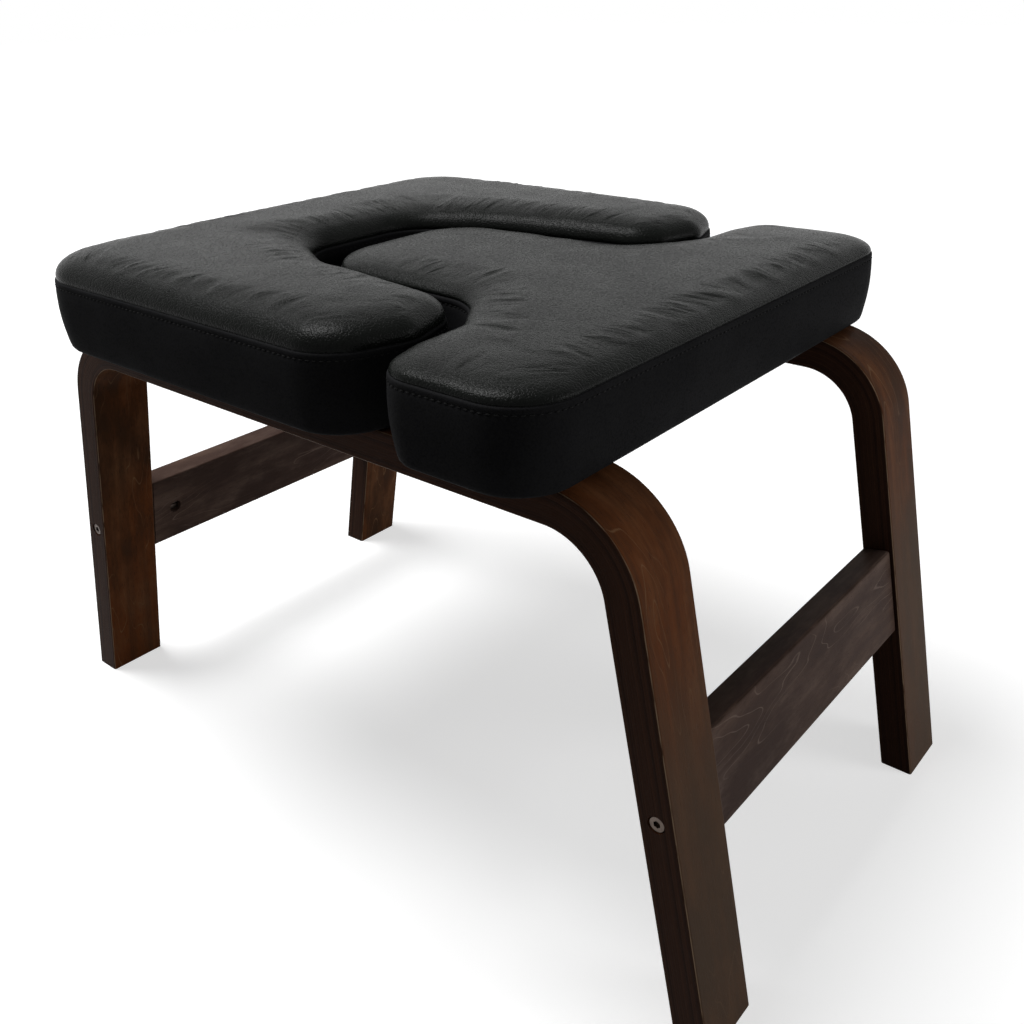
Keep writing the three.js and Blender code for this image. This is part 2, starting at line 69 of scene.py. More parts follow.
# %% [markdown]
# ## The camera
#
# The camera stands in front and to the right of the stool, a little above the pads. Its place
# was worked out from the edges of the frames, so it is written as a point to look at, two
# angles, a distance and a small roll. A shift of the lens keeps the picture's own framing.
# The other way, turning the camera until it looks right, would leave the frames slightly off.

# %% Stand the camera where the picture was taken
camera_target = Vector((0.0292, 0.002, 0.2326))
camera_azimuth = math.radians(40.21)
camera_elevation = math.radians(23.85)
camera_roll = math.radians(-1.34)
camera_distance = 0.7813
camera_lens = 37.52
camera_shift = (0.0017, -0.0588)

camera_data = bpy.data.cameras.new("camera")
camera_data.lens = camera_lens
camera_data.sensor_width = 36
camera_data.shift_x, camera_data.shift_y = camera_shift
camera_data.clip_start = 0.01
camera = bpy.data.objects.new("camera", camera_data)
scene.collection.objects.link(camera)
scene.camera = camera

away = Vector((
    math.sin(camera_azimuth) * math.cos(camera_elevation),
    -math.cos(camera_azimuth) * math.cos(camera_elevation),
    math.sin(camera_elevation),
))
camera.rotation_mode = "QUATERNION"
camera.location = camera_target + away * camera_distance
roll = Matrix.Rotation(camera_roll, 3, "Z").to_quaternion()
camera.rotation_quaternion = away.to_track_quat("Z", "Y") @ roll
print("camera at", [round(place, 4) for place in camera.location])

# %% [markdown]
# ## Shader maths as plain sums
#
# A finish is a small network of nodes. Wiring each sum by hand hides what it says, so a `Wire`
# stands for the output of a node and knows how to add, subtract and multiply. An expression such
# as `1 - mask * 0.5` then builds its own Math nodes. Every other node comes from one method,
# `Finish.node`, which takes the node's type, its settings and what goes into its sockets.

# %% A wire that can be calculated with
class Wire:
    """The output of a node. Sums on it add Math nodes to its finish."""

    def __init__(self, finish, socket):
        self.finish = finish
        self.socket = socket

    def sum_with(self, operation, left, right):
        return self.finish.maths(operation, left, right)

    def __add__(self, other):
        return self.sum_with("ADD", self, other)

    def __radd__(self, other):
        return self.sum_with("ADD", other, self)

    def __sub__(self, other):
        return self.sum_with("SUBTRACT", self, other)

    def __rsub__(self, other):
        return self.sum_with("SUBTRACT", other, self)

    def __mul__(self, other):
        return self.sum_with("MULTIPLY", self, other)

    def __rmul__(self, other):
        return self.sum_with("MULTIPLY", other, self)

    def __truediv__(self, other):
        return self.sum_with("DIVIDE", self, other)

    def __abs__(self):
        return self.finish.maths("ABSOLUTE", self)


# %% A finish: one material and the nodes in it
class Finish:
    """A material under construction, from its Principled shader backwards."""

    def __init__(self, name):
        self.material = bpy.data.materials.new(name)
        self.material.use_nodes = True
        self.tree = self.material.node_tree
        self.shader = self.tree.nodes["Principled BSDF"]

    def node(self, kind, settings=None, sockets=None, output=None):
        """Adds a node, sets it up, fills its sockets, and returns one output as a Wire."""
        node = self.tree.nodes.new(kind)
        for setting, value in (settings or {}).items():
            if setting == "stops":
                self.set_stops(node.color_ramp, value)
            else:
                setattr(node, setting, value)
        for key, value in (sockets or {}).items():
            self.feed(node.inputs[key], value)
        socket = next(s for s in node.outputs if s.enabled) if output is None else node.outputs[output]
        return Wire(self, socket)

    def set_stops(self, ramp, stops):
        while len(ramp.elements) < len(stops):
            ramp.elements.new(1.0)
        for element, (position, colour) in zip(ramp.elements, stops):
            element.position = position
            element.color = colour

    def feed(self, socket, value):
        if isinstance(value, Wire):
            self.tree.links.new(value.socket, socket)
        else:
            socket.default_value = value

    def shade(self, **sockets):
        """Fills the shader's own sockets, named with underscores for spaces."""
        for name, value in sockets.items():
            self.feed(self.shader.inputs[name.replace("_", " ")], value)
        return self.material

    def maths(self, operation, *values):
        """A Math node over one or more values."""
        return self.node("ShaderNodeMath", {"operation": operation}, dict(enumerate(values)))

    def mix(self, factor, first, second):
        """A colour between two colours."""
        return self.node("ShaderNodeMix", {"data_type": "RGBA"}, {0: factor, 6: first, 7: second}, 2)

    def step(self, value, start, end):
        """0 below start, 1 above end, and smooth between."""
        return self.node(
            "ShaderNodeMapRange",
            {"interpolation_type": "SMOOTHSTEP"},
            {"Value": value, "From Min": start, "From Max": end},
        )

    def stretch(self, vector, scale):
        """A vector with each axis scaled by itself, in repeats per metre."""
        return self.node("ShaderNodeVectorMath", {"operation": "MULTIPLY"}, {0: vector, 1: scale})

    def parts(self, vector):
        """The three parts of a vector, each as a Wire."""
        split = self.node("ShaderNodeSeparateXYZ", None, {"Vector": vector}, "X").socket.node
        return [Wire(self, split.outputs[axis]) for axis in "XYZ"]

    def cloud(self, vector, scale, detail=2.0, roughness=0.5):
        """Noise from 0 to 1 over a stretched vector."""
        sockets = {"Scale": 1.0, "Detail": detail, "Roughness": roughness}
        sockets["Vector"] = self.stretch(vector, scale)
        return self.node("ShaderNodeTexNoise", None, sockets, "Fac")

    def relief(self, height, depth, under=None):
        """A bump of a real depth, laid over another one if there is one."""
        sockets = {"Height": height, "Distance": depth, "Strength": 1.0}
        if under is not None:
            sockets["Normal"] = under
        return self.node("ShaderNodeBump", None, sockets)


def colour(red, green, blue):
    """A colour as a paint chart gives it, from 0 to 255, in the linear values that shaders use."""
    def linear(value):
        value = value / 255
        return value / 12.92 if value <= 0.04045 else ((value + 0.055) / 1.055) ** 2.4
    return (linear(red), linear(green), linear(blue), 1.0)


# %% [markdown]
# ## The floor and the light
#
# Dark things need a plain pale room. The floor is a large pale plane. It is also what the
# glossy finishes reflect, so its paint is written for the eye, and only the light that bounces
# from it to the undersides of the stool is held back, as a matt grey floor would hold it.
# Three soft lamps do the rest: one above the left end, a low one from the right that reaches
# under the pads, and a weak one in front. A lamp behind the pads would shine in their tops, which
# are to reflect only the pale room, more at the far side than near by.

# %% Lay the floor
def lit_for_the_eye(finish):
    """1 on rays from the camera and on reflections, 0 on light that bounces."""
    rays = ("Is Camera Ray", "Is Glossy Ray", "Is Transmission Ray")
    seen = [finish.node("ShaderNodeLightPath", output=ray) for ray in rays]
    return finish.node("ShaderNodeClamp", None, {"Value": seen[0] + seen[1] + seen[2]})


floor_half = 12.0
floor_mesh = bmesh.new()
bmesh.ops.create_grid(floor_mesh, x_segments=1, y_segments=1, size=floor_half)
floor_data = bpy.data.meshes.new("floor")
floor_mesh.to_mesh(floor_data)
floor_mesh.free()
floor = bpy.data.objects.new("floor", floor_data)
scene.collection.objects.link(floor)

floor_finish = Finish("pale_floor")
eye = lit_for_the_eye(floor_finish)
ground = floor_finish.node("ShaderNodeTexCoord", output="Object")
reach = floor_finish.node("ShaderNodeVectorMath", {"operation": "LENGTH"}, {0: ground}, "Value")
glow = 0.62 + floor_finish.step(reach, 0.7, 2.2) * 0.38
floor_data.materials.append(floor_finish.shade(
    Base_Color=floor_finish.mix(eye, colour(150, 150, 150), colour(200, 200, 200)),
    Roughness=0.9,
    Specular_IOR_Level=0.0,
    Emission_Color=floor_finish.mix(eye * glow, (0.0, 0.0, 0.0, 1.0), (1.0, 1.0, 1.0, 1.0)),
    Emission_Strength=1.0,
))

# %% Light the room
class Room(Finish):
    """The world around the scene, wired with the same helpers."""

    def __init__(self, world):
        self.material = world
        world.use_nodes = True
        self.tree = world.node_tree
        self.shader = self.tree.nodes["Background"]


scene.world = bpy.data.worlds.new("room")
room = Room(scene.world)
room_light = 0.06
room.shade(Color=(1.0, 1.0, 1.0, 1.0), Strength=room_light + lit_for_the_eye(room) * (1 - room_light))


def soft_lamp(name, place, target, size, power):
    lamp_data = bpy.data.lights.new(name, "AREA")
    lamp_data.shape = "DISK"
    lamp_data.size = size
    lamp_data.energy = power
    lamp = bpy.data.objects.new(name, lamp_data)
    lamp.location = place
    lamp.rotation_mode = "QUATERNION"
    lamp.rotation_quaternion = (Vector(place) - Vector(target)).to_track_quat("Z", "Y")
    scene.collection.objects.link(lamp)


seat_middle = (0.0, 0.0, 0.3)
soft_lamp("lamp_above", (-0.8, -0.3, 2.3), seat_middle, 1.2, 62)
soft_lamp("lamp_right", (2.1, 0.9, 0.75), seat_middle, 1.0, 17)
soft_lamp("lamp_front", (0.4, -2.4, 1.4), seat_middle, 1.6, 1.5)

scene.view_settings.view_transform = "Standard"

# %% [markdown]
# ## The sizes of the construction
#
# The boxes of the loaded pieces give most sizes. A few, such as the thickness of the bent
# veneer and the angle of the legs, can't be read from a box and are written down here.

# %% Read what the boxes give
frame_low, frame_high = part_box("front_frame")
frame_height = frame_high.z
half_span = frame_high.x
band_width = frame_high.y - frame_low.y
frame_middle = (frame_high.y + frame_low.y) / -2

veneer_stack = 0.0225
bend_radius = 0.061
leg_splay = math.radians(11.25)
edge_ease = 0.0015

bend_height = frame_height - bend_radius
bend_place = half_span - bend_radius / math.cos(leg_splay) - bend_height * math.tan(leg_splay)
bend_turn = math.pi / 2 - leg_splay
bend_line = bend_radius - veneer_stack / 2
print("straight part of the top bar", round(2 * bend_place, 4))

# %% [markdown]
# ## Stained wood
#
# Bent frames are glued up from thin veneers, so two faces of the band show broad rotary-cut
# figure and the other two show the stack of plies. The pattern has to bend with the wood. A
# pattern on the object's own axes would cut straight through the bends, so each wooden piece
# carries an attribute, `grain`: the place of each point along the band, across it, and down
# through the stack, as if the band were still flat. The outer faces of the legs turn greyer
# towards the floor, a painted reflection of the pale room. The sharp edges differ: on the bands
# they are pale, partly rubbed wear and partly a painted highlight, and on the rails a dark line
# of painted shade runs along them.

# %% Wood that follows its own grain
def stained_wood(name, dark, light, warm, half_width, stack, ply, edge_wear_and_painted_light_tone, arris_width):
    """Dark-stained wood. With a ply thickness, its narrow faces show the glued stack."""
    wood = Finish(name)
    grain = wood.node("ShaderNodeAttribute", {"attribute_name": "grain"}, output="Vector")
    across, depth = wood.parts(grain)[1:]

    rim = half_width - abs(across)
    narrow_face = 1 - wood.step(rim, 0.0001, 0.0012)

    drift = wood.cloud(grain, (5.0, 11.0, 11.0), 2.0)
    figure_field = wood.cloud(grain, (5.0, 26.0, 60.0), 2.5, 0.45)
    contour = wood.maths("PINGPONG", figure_field * 34, 1.0)
    shown = wood.step(wood.cloud(grain, (11.0, 36.0, 36.0)), 0.46, 0.62)
    figure_line = wood.step(contour, 0.9, 1.0) * shown
    fibre = wood.cloud(grain, (26.0, 900.0, 900.0), 3.0, 0.65)
    band = wood.cloud(grain, (4.0, 130.0, 130.0), 2.0, 0.55)
    pore = wood.step(wood.cloud(grain, (160.0, 2100.0, 2100.0), 1.0), 0.6, 0.72)
    blotch = wood.cloud(grain, (16.0, 44.0, 44.0), 4.0, 0.65)

    stain = wood.mix(wood.step(drift * 0.6 + blotch * 0.4, 0.38, 0.6), dark, warm)
    stain = wood.mix(wood.step(blotch, 0.42, 0.75) * 0.4, stain, light)
    stain = wood.mix(wood.step(band, 0.42, 0.68) * 0.45, stain, dark)
    stain = wood.mix(fibre * 0.4, stain, dark)
    stain = wood.mix(figure_line * (1 - narrow_face) * 0.6, stain, light)
    stain = wood.mix(pore * (1 - narrow_face) * 0.5, stain, colour(26, 15, 10))

    height = fibre * 0.5 - pore * 0.5
    if ply:
        # Painted reflection: near the floor the outer faces of the legs are mixed towards a grey-brown, the
        # sheen of the pale room painted into the colour.
        above_floor = wood.parts(wood.node("ShaderNodeTexCoord", output="Object"))[2]
        painted_reflection_near_floor = (1 - wood.step(above_floor, 0.15, 0.27)) * (1 - wood.step(depth, 0.004, 0.012))
        stain = wood.mix(painted_reflection_near_floor * 0.7, stain, colour(76, 62, 50))
        layer = depth / ply
        layer_number = wood.maths("FLOOR", layer)
        tone = wood.node("ShaderNodeTexWhiteNoise", {"noise_dimensions": "1D"}, {"W": layer_number})
        in_layer = wood.maths("FRACT", layer)
        glue_line = 1 - wood.step(abs(in_layer - 0.5), 0.33, 0.5)
        streak = wood.cloud(grain, (30.0, 300.0, 900.0), 2.0, 0.6)
        stack_tone = wood.mix(tone * 0.5 + streak * 0.5, colour(27, 16, 12), colour(66, 42, 30))
        stack_tone = wood.mix((1 - glue_line) * 0.5, stack_tone, colour(27, 17, 12))
        stain = wood.mix(narrow_face, stain, stack_tone)
        height = height + narrow_face * glue_line * 0.7

    # Edge tone: on the bands a pale line that is partly rubbed wear and partly a painted highlight, on the
    # rails a dark line of painted shade.
    corner = wood.maths("MAXIMUM", rim, stack / 2 - abs(depth - stack / 2))
    uneven = wood.step(wood.cloud(grain, (60.0, 400.0, 400.0), 3.0), 0.3, 0.52)
    edge_wear_and_painted_light = (1 - wood.step(corner, 0.0001, arris_width)) * uneven
    stain = wood.mix(edge_wear_and_painted_light * 0.9, stain, edge_wear_and_painted_light_tone)

    return wood.shade(
        Base_Color=stain,
        Roughness=0.46 - fibre * 0.12 + blotch * 0.08,
        Specular_IOR_Level=0.015,
        Normal=wood.relief(height, 0.00012),
    )


ply_thickness = veneer_stack / 15
# The pale edge tone of the bands is partly rubbed wear and partly a painted highlight.
frame_wood = stained_wood(
    "stained_bentwood", colour(58, 38, 25), colour(122, 92, 66), colour(106, 58, 28),
    band_width / 2, veneer_stack, ply_thickness, colour(206, 176, 146), 0.0009,
)

# %% [markdown]
# ## The bent frames
#
# A frame is one band of constant section: down the leg, round the bend and along the bar. So it
# is made as a shop would draw it: the section once, with its corners eased, then extruded along
# the bar, spun round the bend, extruded down the leg, and mirrored. The last section is laid
# flat on the floor, because the feet are cut level. Modelling a straight board and bending it
# with a modifier would stretch the bend.

# %% Helpers that put a finished mesh in the scene
def add_piece(name, mesh, material, smooth_angle=math.radians(35)):
    """A finished bmesh as an object at the origin, smooth up to an angle."""
    data = bpy.data.meshes.new(name)
    mesh.to_mesh(data)
    mesh.free()
    data.materials.append(material)
    data.shade_smooth()
    data.set_sharp_from_angle(angle=smooth_angle)
    piece = bpy.data.objects.new(name, data)
    scene.collection.objects.link(piece)
    return piece


def keep_flats_flat(piece):
    """Lets the large faces decide the shading, so that a bevel doesn't bend their light."""
    weigh = piece.modifiers.new("flats", "WEIGHTED_NORMAL")
    weigh.keep_sharp = True


def cylinder_at(place, axis, radius, length, sides=40):
    """A bmesh cylinder from a place along an axis."""
    tool = bmesh.new()
    turn = Vector(axis).to_track_quat("Z", "Y").to_matrix().to_4x4()
    matrix = Matrix.Translation(place) @ turn @ Matrix.Translation((0, 0, length / 2))
    bmesh.ops.create_cone(
        tool, cap_ends=True, segments=sides, radius1=radius, radius2=radius, depth=length, matrix=matrix,
    )
    return tool


def carve(mesh, tools):
    """Cuts closed tools out of a closed mesh, and gives back the cut bmesh."""
    def as_object(shape, label):
        data = bpy.data.meshes.new(label)
        shape.to_mesh(data)
        shape.free()
        made = bpy.data.objects.new(label, data)
        scene.collection.objects.link(made)
        return made

    blank = as_object(mesh, "blank")
    cutters = [as_object(tool, "cutter") for tool in tools]
    for cutter in cutters:
        cut = blank.modifiers.new("cut", "BOOLEAN")
        cut.operation = "DIFFERENCE"
        cut.solver = "EXACT"
        cut.object = cutter
    result = bmesh.new()
    result.from_object(blank, bpy.context.evaluated_depsgraph_get())
    for leftover in [blank, *cutters]:
        bpy.data.meshes.remove(leftover.data)
    return result


# %% The section, and the sweep along bar, bend and leg
def eased_section():
    """The band's section at the middle of the bar, as one face with eased corners."""
    mesh = bmesh.new()
    corners = [
        mesh.verts.new((0, side * band_width / 2, frame_height - drop))
        for side, drop in ((-1, 0), (1, 0), (1, veneer_stack), (-1, veneer_stack))
    ]
    mesh.faces.new(corners)
    bmesh.ops.bevel(
        mesh,
        geom=mesh.verts[:],
        affect="VERTICES",
        offset=edge_ease,
        segments=3,
        profile=0.5,
        material=-1,
    )
    return mesh


def half_band():
    """Bar, bend and leg on the +X side, open at the bar's middle."""
    bend_steps = 24
    mesh = eased_section()
    made = bmesh.ops.extrude_face_region(mesh, geom=mesh.faces[:])["geom"]
    section = [part for part in made if isinstance(part, bmesh.types.BMVert)]
    bmesh.ops.translate(mesh, verts=section, vec=(bend_place, 0, 0))
    face = [part for part in made if isinstance(part, bmesh.types.BMFace)]
    spun = bmesh.ops.spin(
        mesh,
        geom=face,
        cent=(bend_place, 0, bend_height),
        axis=(0, 1, 0),
        angle=bend_turn,
        steps=bend_steps,
        use_merge=False,
        use_normal_flip=False,
        use_duplicate=False,
    )["geom_last"]
    face = [part for part in spun if isinstance(part, bmesh.types.BMFace)]
    made = bmesh.ops.extrude_face_region(mesh, geom=face)["geom"]
    foot = [part for part in made if isinstance(part, bmesh.types.BMVert)]
    for vert in foot:
        vert.co += Vector((math.tan(leg_splay), 0, -1)) * vert.co.z
    open_end = [f for f in mesh.faces if all(abs(v.co.x) < edge_ease / 10 for v in f.verts)]
    bmesh.ops.delete(mesh, geom=open_end, context="FACES_ONLY")
    return mesh


def whole_band(middle_y):
    mesh = half_band()
    everything = mesh.verts[:] + mesh.edges[:] + mesh.faces[:]
    bmesh.ops.mirror(mesh, geom=everything, axis="X", merge_dist=0.0001)
    bmesh.ops.remove_doubles(mesh, verts=mesh.verts[:], dist=0.00001)
    bmesh.ops.recalc_face_normals(mesh, faces=mesh.faces[:])
    bmesh.ops.translate(mesh, verts=mesh.verts[:], vec=(0, middle_y, 0))
    return mesh


# %% The grain of a bent band
def band_place(point, middle_y):
    """Where a point lies along, across and down through the band when it is laid flat."""
    x, z = abs(point.x) - bend_place, point.z - bend_height
    turn = math.atan2(x, z)
    if x <= 0:
        along, radius = abs(point.x), z
    elif turn < bend_turn:
        along, radius = bend_place + turn * bend_line, math.hypot(x, z)
    else:
        along = bend_place + bend_turn * bend_line + x * math.sin(leg_splay) - z * math.cos(leg_splay)
        radius = x * math.cos(leg_splay) + z * math.sin(leg_splay)
    return math.copysign(along, point.x), point.y - middle_y, bend_radius - radius


def store_grain(piece, place_of, lot):
    """Writes the grain attribute. A lot of its own gives each piece other wood."""
    grain = piece.data.attributes.new("grain", "FLOAT_VECTOR", "POINT")
    for vert, value in zip(piece.data.vertices, grain.data):
        along, across, depth = place_of(vert.co)
        value.vector = (along + lot, across, depth)


# %% Bore and finish both frames
hole_play = 0.0003
overrun = 0.006
bolt_head_radius = 0.005
bolt_shank_radius = 0.003
bolt_head_recess = 0.005
dowel_radius = 0.004
dowel_length = 0.04


def middle_of(node):
    low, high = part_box(node)
    return (low + high) / 2


def bores_of(end, end_name):
    """The tools that bore one frame. Its outer edge face looks towards end, -1 or 1, on Y."""
    outer_face = end * (frame_middle + band_width / 2)
    inner_face = end * (frame_middle - band_width / 2)
    tools = []
    for side in ("left", "right"):
        bolt = middle_of(f"rail_bolt_{end_name}_{side}")
        start = Vector((bolt.x, outer_face + end * overrun, bolt.z))
        for radius, reach in (
            (bolt_head_radius, overrun + bolt_head_recess),
            (bolt_shank_radius, band_width + 2 * overrun),
        ):
            tools.append(cylinder_at(start, (0, -end, 0), radius + hole_play, reach))
        for level in ("upper", "lower"):
            dowel = middle_of(f"{level}_dowel_{end_name}_{side}")
            mouth = Vector((dowel.x, inner_face - end * overrun, dowel.z))
            reach = overrun + dowel_length / 2
            tools.append(cylinder_at(mouth, (0, end, 0), dowel_radius + hole_play, reach))
        pad_bolt = middle_of(f"pad_bolt_{end_name}_{side}")
        below = Vector((pad_bolt.x, pad_bolt.y, frame_height - veneer_stack - overrun))
        reach = veneer_stack + 2 * overrun
        tools.append(cylinder_at(below, (0, 0, 1), bolt_shank_radius + hole_play, reach))
        peg_low, peg_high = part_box(f"insert_peg_{end_name}_{side}")
        peg_radius = (peg_high.y - peg_low.y) / 2 + hole_play
        peg = middle_of(f"insert_peg_{end_name}_{side}")
        bottom = Vector((peg.x, peg.y, peg_low.z - hole_play))
        tools.append(cylinder_at(bottom, (0, 0, 1), peg_radius, frame_height - bottom.z + overrun))
    return tools


for end, end_name, lot in ((-1, "front", 0.0), (1, "back", 3.7)):
    middle_y = end * frame_middle
    bored = carve(whole_band(middle_y), bores_of(end, end_name))
    band = add_piece(f"{end_name}_bent_frame", bored, frame_wood)
    store_grain(band, lambda point: band_place(point, middle_y), lot)
    keep_flats_flat(band)
    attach(band, "stool")
    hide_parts(f"{end_name}_frame")
    print(band.name, len(band.data.polygons), "faces")

# %% [markdown]
# ## The rails
#
# Each rail is a plain straight board between two legs, tilted with them. It is a box with its
# long edges eased. Its holes matter, because the cross holes for the barrel nuts show on the
# inner face. The board is made lying square, bored in place, and its grain runs along it.

# %% Cut and bore the rails
rail_height = 0.0625
rail_thickness = 0.0195
rail_ease = 0.002
# The dark edge tone of the rails is a painted shade line along their edges.
rail_wood = stained_wood(
    "stained_rail", colour(62, 48, 43), colour(124, 107, 98), colour(92, 73, 63),
    rail_height / 2, rail_thickness, None, colour(34, 23, 19), 0.0016,
)


def rail_board(length):
    """A board along Y with its long edges eased, its width on Z and its thickness on X."""
    mesh = bmesh.new()
    bmesh.ops.create_cube(mesh, size=1.0)
    bmesh.ops.scale(mesh, verts=mesh.verts[:], vec=(rail_thickness, length, rail_height))
    long_edges = [e for e in mesh.edges if abs((e.verts[0].co - e.verts[1].co).y) > length / 2]
    bmesh.ops.bevel(
        mesh, geom=long_edges, affect="EDGES", offset=rail_ease, segments=4, profile=0.5, material=-1,
    )
    return mesh


for side, side_name, lot in ((-1, "left", 1.3), (1, "right", 5.1)):
    rail_low, rail_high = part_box(f"{side_name}_rail")
    middle = (rail_low + rail_high) / 2
    turn = Matrix.Rotation(-side * leg_splay, 4, "Y")
    outward = turn.to_3x3() @ Vector((side, 0, 0))
    board = rail_board(rail_high.y - rail_low.y)
    bmesh.ops.transform(board, matrix=Matrix.Translation(middle) @ turn, verts=board.verts[:])
    tools = []
    for end, end_name in ((-1, "front"), (1, "back")):
        nut = middle_of(f"barrel_nut_{end_name}_{side_name}")
        nut_low, nut_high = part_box(f"barrel_nut_{end_name}_{side_name}")
        nut_radius = (nut_high.y - nut_low.y) / 2 + hole_play
        bolt = middle_of(f"rail_bolt_{end_name}_{side_name}")
        start = nut + outward * ((nut_high.x - nut_low.x) / 2)
        tools.append(cylinder_at(start, -outward, nut_radius, rail_thickness * 2))
        mouth = Vector((bolt.x, end * (rail_high.y + overrun), bolt.z))
        bolt_low, bolt_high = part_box(f"rail_bolt_{end_name}_{side_name}")
        reach = mouth.y - (bolt_low.y if end > 0 else bolt_high.y)
        tools.append(cylinder_at(mouth, (0, -end, 0), bolt_shank_radius + hole_play, abs(reach) + overrun))
        for level in ("upper", "lower"):
            dowel = middle_of(f"{level}_dowel_{end_name}_{side_name}")
            mouth = Vector((dowel.x, end * (rail_high.y + overrun), dowel.z))
            reach = dowel_length / 2 + overrun
            tools.append(cylinder_at(mouth, (0, -end, 0), dowel_radius + hole_play, reach))
    rail = add_piece(f"{side_name}_cross_rail", carve(board, tools), rail_wood)
    back_turn = turn.to_3x3().inverted()

    def board_place(point):
        x, y, z = back_turn @ (point - middle)
        return y, z, x + rail_thickness / 2

    store_grain(rail, board_place, lot)
    keep_flats_flat(rail)
    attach(rail, "stool")
    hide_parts(f"{side_name}_rail")
    print(rail.name, len(rail.data.polygons), "faces")

# %% [markdown]
# ## Black leather
#
# The cover is cut from two leathers. The top panel is a grained hide: its colour is nearly black
# and its pebbles catch the light from above, so it looks grey at a low angle and black from
# above. The side band is a smoother and duller hide. Both come from one function, which lays small
# pebbles over wide soft creases, and differ in their colours, their gloss and the grain's depth.

# %% The leather finish
def black_leather(name, dark, light, gloss, dullness, grain_depth):
    leather = Finish(name)
    place = leather.node("ShaderNodeTexCoord", output="Object")
    drift = leather.cloud(place, (26.0, 26.0, 26.0), 2.0)
    swirl_sockets = {"Vector": place, "Scale": 240.0, "Detail": 1.0}
    swirl = leather.node("ShaderNodeTexNoise", None, swirl_sockets, "Color")
    bent = leather.node(
        "ShaderNodeVectorMath",
        {"operation": "MULTIPLY_ADD"},
        {0: swirl, 1: (0.0016, 0.0016, 0.0016), 2: place},
    )
    cells = leather.node(
        "ShaderNodeTexVoronoi",
        {"feature": "SMOOTH_F1"},
        {"Vector": bent, "Scale": 860.0, "Smoothness": 0.35},
        "Distance",
    )
    furrow = leather.step(cells, 0.38, 0.85)
    crease = leather.cloud(place, (95.0, 95.0, 95.0), 4.0, 0.62)
    fine = leather.cloud(place, (1900.0, 1900.0, 1900.0), 2.0)
    worn = leather.step(drift, 0.35, 0.7)
    height = (1 - furrow) * 0.8 + crease * 0.6 + fine * 0.12
    return leather.shade(
        Base_Color=leather.mix(worn * 0.5 + (1 - furrow) * 0.5, dark, light),
        Roughness=dullness + furrow * 0.12 - worn * 0.04,
        Specular_IOR_Level=gloss,
        Normal=leather.relief(height, grain_depth),
    )


top_leather = black_leather(
    "grained_leather", colour(5, 6, 5), colour(15, 17, 15), gloss=0.04, dullness=0.27, grain_depth=0.00017,
)
side_leather = black_leather(
    "smooth_leather", colour(26, 26, 27), colour(33, 33, 34), gloss=0.003, dullness=0.5, grain_depth=0.00005,
)

# %% [markdown]
# ## The cushions
#
# A cushion is foam on a board, under a cover of two parts: a side band and a top panel, sewn
# together along the upper edge with a second row of stitches just below. The shape grows ring by
# ring from one outline: out of the pocket for the board, round the hem, up the side, in and out
# of the seam, and over the edge of the crown. Each ring is an extrusion of the one before.
# The outline itself is a polygon of a few corners, each bevelled to its own radius.

# %% The outlines, as shares of the seat
seat_low, seat_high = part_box("shoulder_cover_side")
seat_start = seat_low.x
seat_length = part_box("insert_cover_side")[1].x - seat_start
seat_half_depth = seat_high.y
seat_base = seat_low.z
skin_step = 0.005

# Along the seat, across half of it, and the corner's radius, for the front half of each outline.
shoulder_corners = (
    (0.0, 1.0, 0.112), (0.688, 1.0, 0.082), (0.728, 0.735, 0.041),
    (0.694, 0.5, 0.068), (0.398, 0.41, 0.136), (0.258, 0.24, 0.08),
)
insert_corners = (
    (1.0, 1.0, 0.082), (0.774, 1.0, 0.057), (0.75, 0.815, 0.045),
    (0.746, 0.612, 0.047), (0.675, 0.395, 0.086), (0.33, 0.355, 0.11),
)


def outline_face(mesh, corner_shares):
    """A cushion's outline as one flat face with rounded corners and evenly spaced points."""
    front = [
        (Vector((seat_start + along * seat_length, -across * seat_half_depth, 0)), radius * seat_length)
        for along, across, radius in corner_shares
    ]
    corners = front + [(Vector((place.x, -place.y, 0)), radius) for place, radius in reversed(front)]
    verts = [mesh.verts.new(place) for place, radius in corners]
    mesh.faces.new(verts)
    for index, (place, radius) in enumerate(corners):
        before = corners[index - 1][0] - place
        after = corners[(index + 1) % len(corners)][0] - place
        angle = before.angle(after)
        bmesh.ops.bevel(
            mesh,
            geom=[verts[index]],
            affect="VERTICES",
            offset=radius / math.tan(angle / 2),
            segments=max(3, round(radius * (math.pi - angle) / skin_step)),
            profile=0.5,
            material=-1,
            clamp_overlap=False,
        )
    for edge in mesh.edges[:]:
        cuts = round(edge.calc_length() / skin_step) - 1
        if cuts > 0:
            bmesh.ops.subdivide_edges(mesh, edges=[edge], cuts=cuts)
    mesh.faces.ensure_lookup_table()
    face = mesh.faces[0]
    face.normal_update()
    if face.normal.z < 0:
        bmesh.ops.reverse_faces(mesh, faces=[face])
    return face


def inward_of(base):
    """The direction into the cushion at each point of its outline."""
    ways = []
    for index in range(len(base)):
        along = base[(index + 1) % len(base)] - base[index - 1]
        ways.append(Vector((-along.y, along.x, 0)).normalized())
    return ways


# %% The rings of a cushion
board_rebate = 0.009
hem_inset = 0.015
cover_gauge = 0.0012
foam_base = 0.0138
side_taper = 0.0025
side_bulge = 0.0015
side_round = 0.005
crown_roll = 0.032
stitch_drop = 0.004
seam_draw = 0.0012


def side_inset(way):
    """How far the side stands in, from the hem's turn, 0, to the stitches, 1."""
    return side_taper * (1 - way) - side_bulge * math.sin(math.pi * way)


def crown_rise(way):
    """How much of the crown is reached, from the seam, 0, to the flat top, 1."""
    return (1 - (1 - min(way, 1.0)) ** 2.3) ** 0.45


